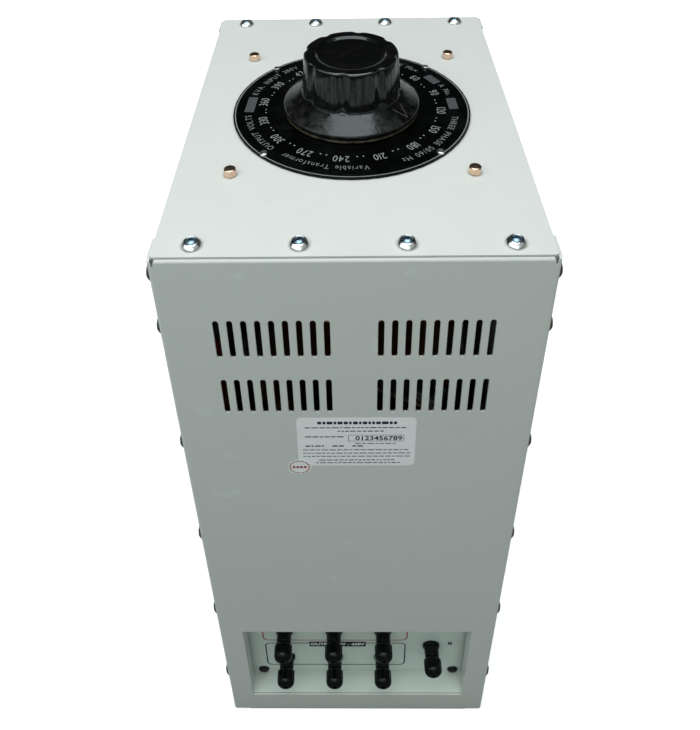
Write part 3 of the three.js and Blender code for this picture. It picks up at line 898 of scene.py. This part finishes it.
def stud_body():
    """The threaded stud through the board, with its nut behind."""
    tail = [(0, -18.0), (2.0, -18.0), (2.45, -17.5)]
    nut = [(2.4, -6.4), (4.7, -6.3), (5.0, -6.0), (5.0, -2.0), (4.7, -1.8), (2.4, -1.75)]
    tip = [(2.0, 20.7), (0, 20.9)]
    profile = tail + thread(-17.5, 13) + nut + [(2.4, 12.0)] + thread(12.1, 10) + tip
    return turned(scaled(profile), 28)


CAP_FLUTES = 12


def cap_radius(angle, radius, z):
    """The cap's grip has shallow scallops between its two chamfers."""
    if radius < 7.9 * MM:
        return radius
    return radius - 0.28 * MM * (1 + math.cos(CAP_FLUTES * angle)) / 2


def cap_body():
    """Screw cap: open bore at the back, scalloped grip, tapered nose with a test socket."""
    bore = [(0, 21.5), (2.8, 21.0), (2.8, 12.2)]
    back = [(3.1, 12.0), (6.3, 12.0), (6.7, 12.15)]
    shoulder = [(8.0, 13.5), (8.2, 13.9)]
    grip = [(8.2, 13.9 + 8.2 * t / 6) for t in range(1, 7)]
    nose = [(8.05, 22.7), (7.7, 23.6), (7.0, 24.6), (6.0, 25.5), (4.9, 26.15), (3.8, 26.45), (3.0, 26.5)]
    socket = [(2.35, 26.5), (2.1, 26.3), (2.05, 25.9), (2.05, 22.6), (0, 22.4)]
    return turned(scaled(bore + back + shoulder + grip + nose + socket), 96, cap_radius)


def build_posts():
    for name in POSTS:
        spot = centre("cap_" + name)
        post, stud, cap = smooth(post_body(), 30), smooth(stud_body(), 60), smooth(cap_body(), 30)
        for bm in (post, stud, cap):
            bm.transform(on_wall(spot.x, spot.z, BOARD))
        collar = add_piece(f"collar_{name}", post, TERMINAL)
        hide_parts(f"post_{name}")
        add_piece(f"stud_{name}", stud, BRASS)
        grip = add_piece(f"grip_{name}", cap, TERMINAL, f"cap_{name}")
        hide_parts(f"cap_{name}")


# ---- printing


def glyph(text, size, thickness, bold):
    """Lettering in the XY plane, centred on the origin, as a bmesh and its width."""
    curve = bpy.data.curves.new("lettering", "FONT")
    curve.body = text
    curve.size = size
    curve.extrude = thickness / 2
    curve.resolution_u = 3
    curve.align_x = "CENTER"
    curve.offset = size * bold
    holder = linked("lettering", curve)
    bm = shown_shape(holder)
    bpy.data.objects.remove(holder)
    bpy.data.curves.remove(curve)
    bmesh.ops.remove_doubles(bm, verts=bm.verts, dist=0.0005 * MM)
    xs = [v.co.x for v in bm.verts]
    middle = (min(xs) + max(xs)) / 2
    bm.transform(Matrix.Translation((-middle, -0.35 * size, thickness / 2)))
    return bm, max(xs) - min(xs)


THIN = 0.03 * MM


def arc_text(text, size, radius, degrees, narrow, spacing):
    """Lettering round the dial, tops outwards, read clockwise, centred on an angle."""
    gap = spacing * size
    shapes = [(None, 0.34 * size) if c == " " else glyph(c, size, THIN, -0.003) for c in text]
    total = sum(width * narrow for _, width in shapes) + gap * (len(text) - 1)
    along = -total / 2
    placed = []
    for bm, width in shapes:
        along += width * narrow / 2
        angle = math.radians(degrees) - along / radius
        along += width * narrow / 2 + gap
        if bm is None:
            continue
        bm.transform(on_dial(radius, math.degrees(angle)) @ Matrix.Diagonal((narrow, 1, 1, 1)))
        placed.append(bm)
    return placed


def flat_shape(points, place, thickness=THIN):
    """A thin raised area from its outline, laid by a 4x4 place whose +Z is outwards."""
    bm = bmesh.new()
    under, over = ([bm.verts.new((x, y, z)) for x, y in points] for z in (0, thickness))
    bm.faces.new(under[::-1])
    bm.faces.new(over)
    bridge(bm, under, over)
    bm.transform(place)
    return bm


def rounded_points(width, height, radius, steps=5):
    """The outline of a rounded rectangle about the origin, from sizes in millimetres."""
    points = []
    for quarter, (sx, sy) in enumerate(((1, 1), (-1, 1), (-1, -1), (1, -1))):
        cx, cy = sx * (width / 2 - radius), sy * (height / 2 - radius)
        points += arc(cx, cy, radius, 90 * quarter, 90 * (quarter + 1), steps)
    return scaled(points)


def frame_line(outer, inner, place, thickness=THIN):
    """A closed line of even width between two matching outlines."""
    bm = bmesh.new()
    turns = ((outer, 0), (outer, thickness), (inner, thickness), (inner, 0))
    loops = [[bm.verts.new((x, y, z)) for x, y in points] for points, z in turns]
    for first, second in zip(loops, loops[1:] + loops[:1]):
        bridge(bm, first, second)
    bmesh.ops.recalc_face_normals(bm, faces=bm.faces)
    bm.transform(place)
    return bm


def add_print(name, shapes, finish):
    """One piece of print or paper from its shapes."""
    add_piece(name, merged(*shapes), finish)


def on_dial(radius, degrees):
    """A place on the dial whose +Y points outwards."""
    a = math.radians(degrees)
    spot = Matrix.Translation((*polar(radius, a), DIAL_TOP))
    return spot @ Matrix.Rotation(a - math.pi / 2, 4, "Z")


# Radii of the dial's print
NUMBERS_AT = 68.2 * MM
DOTS_AT = 65.2 * MM
WORDS_AT = 78.6 * MM
FIELDS_AT = 77.4 * MM

VOLTS_FULL = 430
KNOB_RANGE = next(j["range_deg"] for j in frame["joints"] if j["name"] == "knob_turn")


def volts_angle(volts):
    """Dial angle of a voltage: the knob's own travel shared out from 0 V to full."""
    low, high = KNOB_RANGE
    return math.degrees(pointer_angle()) + high - (high - low) * volts / VOLTS_FULL


def build_dial_print():
    numbers = []
    for volts in range(0, VOLTS_FULL, 30):
        numbers += arc_text(str(volts), 9.8 * MM, NUMBERS_AT, volts_angle(volts), 0.74, 0.10)
        for extra in (12.5, 17.5):
            if volts + extra < VOLTS_FULL - 5:
                place = on_dial(DOTS_AT, volts_angle(volts + extra))
                numbers.append(flat_shape(disc_points(0.62), place))
    add_print("dial_numbers", numbers, SILVER_INK)
    words = []
    for text, degrees in (
        ("THREE PHASE 50/60 Hz", -37),
        ("Variable Transformer", -105),
        ("OUTPUT VOLTS", -154),
        ("KVA. INPUT 380V", 145),
        ("V Max.", 52),
        ("A No.", 18.5),
    ):
        words += arc_text(text, 7.0 * MM, WORDS_AT, degrees, 0.84, 0.16)
    add_print("dial_words", words, GREY_INK)
    fields = []
    for degrees, length, width in ((176, 22, 7.2), (32.5, 14, 7.2), (3, 16, 7.2)):
        place = on_dial(FIELDS_AT, degrees)
        fields.append(flat_shape(rounded_points(length, width, 0.5, 2), place))
    add_print("dial_fields", fields, FIELD_INK)
    flat = Matrix.Translation((0, 0, DIAL_TOP))
    ring = frame_line(disc_points(88.8, 160), disc_points(87.9, 160), flat)
    add_print("dial_ring", [ring], GREY_INK)


def wall_text(text, size, x, z, y, bold=0.022, narrow=1.0):
    bm, _ = glyph(text, size, THIN, bold)
    bm.transform(on_wall(x, z, y) @ Matrix.Diagonal((narrow, 1, 1, 1)))
    return bm


def wall_frame(left, right, high, low, line, corner, y):
    """A rounded frame; high and low are millimetres below the top plate."""
    width, height = right - left, low - high
    place = on_wall((left + right) / 2 * MM, below((high + low) / 2), y)
    outer = rounded_points(width, height, corner)
    inner = rounded_points(width - 2 * line, height - 2 * line, corner - line)
    return frame_line(outer, inner, place)


def build_board_print():
    surface = BOARD - 0.01 * MM
    output = wall_frame(-88.4, 47.0, 511.6, 556.4, 1.2, 5.5, surface)
    add_print("output_frame", [output], BLACK_INK)
    inputs = wall_frame(-89.6, 48.2, 462, 507, 1.2, 6.5, surface)
    add_print("input_frame", [inputs], RED_INK)
    strip = rounded_points(54, 9.4, 0.5, 2)
    strips, words = [], []
    for text, drop in (("OUTPUT  0V - 430V", 514.2), ("INPUT  3 ~ 380V", 464)):
        x, z = -18.4 * MM, below(drop)
        strips.append(flat_shape(strip, on_wall(x, z, surface - 0.2 * THIN), 1.2 * THIN))
        words.append(wall_text(text, 6 * MM, x, z, surface - 1.5 * THIN, 0.04))
    add_print("strip_plates", strips, BLACK_INK)
    add_print("strip_words", words, WHITE_INK)
    neutral = wall_text("N", 7.6 * MM, 89 * MM, below(512.6), surface, 0.075, 0.60)
    add_print("neutral_mark", [neutral], BLACK_INK)


# ---- stickers

LABEL_TOP = 146.6  # millimetres below the top plate
LABEL_PRINT = FRONT - 0.11 * MM

# The label's lines of words: left end, right end, distance from its top, height, in millimetres
LABEL_LINES = (
    (-26, 29, 5.4, 2.9),
    (-35, 36, 10.6, 1.0),
    (-12, 20, 14.4, 1.0),
    (-35, -8, 20.6, 1.1),
    (0, 30, 28.2, 0.8),
    (-35, -22, 31.0, 1.4),
    (-16, -8, 31.0, 1.4),
    (-2, 7, 31.0, 1.4),
    (-37, 39, 35.4, 0.9),
    (-37, 39, 39.2, 0.9),
    (-37, 39, 42.8, 0.9),
    (-26, 28, 47.2, 1.0),
    (-28, 32, 50.4, 0.9),
)


def word_bars(left, right, drop, height, rng):
    """A line that stands for words: short bars of uneven length from left to right."""
    bars = []
    x = left
    while x < right - 1.2:
        length = min(rng.uniform(1.6, 5.2), right - x)
        place = on_wall((x + length / 2) * MM, below(LABEL_TOP + drop), LABEL_PRINT)
        points = rounded_points(length, height, 0.2 * height, 2)
        bars.append(flat_shape(points, place, 0.02 * MM))
        x += length + 0.8
    return bars


def build_warranty_label():
    left, right, height = -40.6, 42.4, 53.8
    place = on_wall((left + right) / 2 * MM, below(LABEL_TOP + height / 2), FRONT - 0.01 * MM)
    sheet = flat_shape(rounded_points(right - left, height, 3.5), place, 0.1 * MM)
    add_print("warranty_label", [sheet], LABEL)
    rng = random.Random(7)
    marks = []
    for line in LABEL_LINES:
        marks += word_bars(*line, rng)
    marks += [
        wall_frame(-4.8, 34.3, LABEL_TOP + 18.6, LABEL_TOP + 25.6, 0.35, 0.6, LABEL_PRINT),
        wall_text("0123456789", 6.6 * MM, 16.6 * MM, below(LABEL_TOP + 22.1), LABEL_PRINT),
    ]
    add_print("warranty_print", marks, LABEL_INK)


def build_round_sticker():
    x, z = -40.3 * MM, below(202)
    place = on_wall(x, z, FRONT - 0.12 * MM)
    add_print("round_sticker", [flat_shape(disc_points(8.8, 48), place, 0.1 * MM)], STAMP)
    printed, thin = FRONT - 0.225 * MM, 0.02 * MM
    outer, inner = disc_points(7.3, 48), disc_points(6.6, 48)
    ring = frame_line(outer, inner, on_wall(x, z, printed), thin)
    add_print("sticker_ring", [ring], RED_INK)
    tick = rounded_points(1.0, 0.5, 0.2, 2)
    ticks = [flat_shape(tick, on_wall(x + i, z + j, printed), thin) for i, j in disc_points(8.05, 15)]
    add_print("sticker_marks", ticks, GREY_INK)
    letter = rounded_points(2.0, 2.4, 0.4, 2)
    places = [on_wall(x + i * 2.7 * MM, z, printed) for i in (-1.5, -0.5, 0.5, 1.5)]
    bars = [flat_shape(letter, spot, thin) for spot in places]
    add_print("sticker_bars", bars, RED_INK)


# ---- inside the case


def build_inside():
    for corner in CORNERS:
        give(f"tie_rod_{corner}", STEEL)
        low_cap_nut(f"cap_nut_{corner}")
    build_rod_nuts()
    for unit in UNITS:
        give(f"coil_frame_{unit}", PAN_ZINC)
        give(f"core_{unit}", CORE)
        give(f"winding_{unit}", WINDING)
        give(f"brush_arm_{unit}", CAST)
        give(f"carbon_brush_{unit}", CARBON)
    give("shaft", STEEL)
    give("lower_bush", BRASS)
    give("top_bush", BRASS)
    give("shaft_collar", ZINC)
    give("wiring_loom", CABLE)


# ---- stage, light and camera


def build_floor():
    bpy.ops.mesh.primitive_plane_add(size=14)
    floor = bpy.context.object
    floor.name = "floor"
    floor.data.materials.append(floor_finish())


def soft_light(name, place, target, size, power, colour, mirrored=True):
    data = bpy.data.lights.new(name, "AREA")
    data.shape = "RECTANGLE"
    data.size, data.size_y = size
    data.energy = power
    data.color = colour
    lamp = linked(name, data)
    lamp.location = place
    lamp.rotation_euler = (Vector(target) - Vector(place)).to_track_quat("-Z", "Y").to_euler()
    lamp.visible_glossy = mirrored


def level_ramp(nodes, factor, stops):
    """Grey levels along a factor, faintly green as light through glass is."""
    ramp = nodes.node("ShaderNodeValToRGB", {"Fac": factor})
    while len(ramp.color_ramp.elements) < len(stops):
        ramp.color_ramp.elements.new(0.5)
    for element, (place, level) in zip(ramp.color_ramp.elements, stops):
        element.position = place
        element.color = (0.89 * level, level, 0.97 * level, 1)
    return ramp.outputs["Color"]


# The room's level at a height, from 0 at the horizon to 1 straight up
BEFORE_LEVELS = ((0.0, 0.30), (0.3, 0.20), (0.55, 0.42), (0.85, 0.5), (0.95, 0.4))
BEHIND_LEVELS = ((0.0, 0.62), (0.10, 0.55), (0.26, 0.03), (0.70, 0.02), (0.93, 0.3))


def build_world():
    """A room: pale before the case, dark behind it above the horizon, plain white to the eye."""
    world = bpy.data.worlds.new("soft_room")
    bpy.context.scene.world = world
    nodes = Nodes(world)
    direction = nodes.coordinates["Generated"]
    height = nodes.part(direction, "Z")
    before = level_ramp(nodes, height, BEFORE_LEVELS)
    behind = level_ramp(nodes, height, BEHIND_LEVELS)
    room = nodes.mix(nodes.band(nodes.part(direction, "Y"), -0.15, 0.25), before, behind)
    seen = nodes.node("ShaderNodeLightPath").outputs["Is Camera Ray"]
    background = nodes.tree.nodes["Background"]
    nodes.feed(background.inputs["Color"], nodes.mix(seen, room, (1, 1, 1)))


def build_light():
    build_world()
    soft_light("overhead", (0.0, -0.12, 2.1), (0, 0, 0.6), (1.25, 1.25), 17.7, (0.96, 0.99, 1.0))
    soft_light("front_fill", (-0.55, -0.95, 1.5), (0, -0.16, 0.5), (2.8, 0.95), 10.2, (0.87, 1.0, 0.955))
    for name, x, y in (("left", -1.7, 0.2), ("right", 1.7, 0.2), ("back", 0.0, 2.0)):
        soft_light(f"{name}_fill", (x, y, 0.34), (0, 0.16, 0.34), (1.4, 0.5), 7.0, (0.92, 1.0, 0.97), False)
    bpy.context.scene.view_settings.view_transform = "Standard"


def shift_from_home(camera, channel, amount):
    """Shifts the picture while the camera is at its first place, and centres it anywhere else."""
    driver = camera.data.driver_add(channel).driver
    driver.type = "SCRIPTED"
    for name, axis in (("y", "LOC_Y"), ("z", "LOC_Z")):
        variable = driver.variables.new()
        variable.name = name
        variable.type = "TRANSFORMS"
        variable.targets[0].id = camera
        variable.targets[0].transform_type = axis
        variable.targets[0].transform_space = "WORLD_SPACE"
    away = f"abs(y - {camera.location.y:.4f}) + abs(z - {camera.location.z:.4f})"
    driver.expression = f"{amount} if {away} < 0.001 else 0.0"


def build_camera():
    """Looking down on the front."""
    data = bpy.data.cameras.new("camera")
    data.sensor_width = 36
    data.lens = 37.89
    data.clip_end = 100
    camera = linked("camera", data)
    bpy.context.scene.camera = camera
    camera.location = (-0.001, FRONT - 0.3355, TOP + 0.3105)
    tilt = Matrix.Rotation(math.radians(58.15), 4, "X")
    swing = Matrix.Rotation(math.radians(0.94), 4, "Y")
    roll = Matrix.Rotation(math.radians(-0.60), 4, "Z")
    camera.rotation_mode = "QUATERNION"
    camera.rotation_quaternion = (tilt @ swing @ roll).to_quaternion()
    shift_from_home(camera, "shift_x", 0.017)
    shift_from_home(camera, "shift_y", -0.350)


build_case()
build_knob()
build_top_screws()
build_side_screws()
build_dial_screws()
build_board_screws()
build_posts()
build_dial_print()
build_board_print()
build_warranty_label()
build_round_sticker()
build_inside()
build_floor()
build_light()
build_camera()
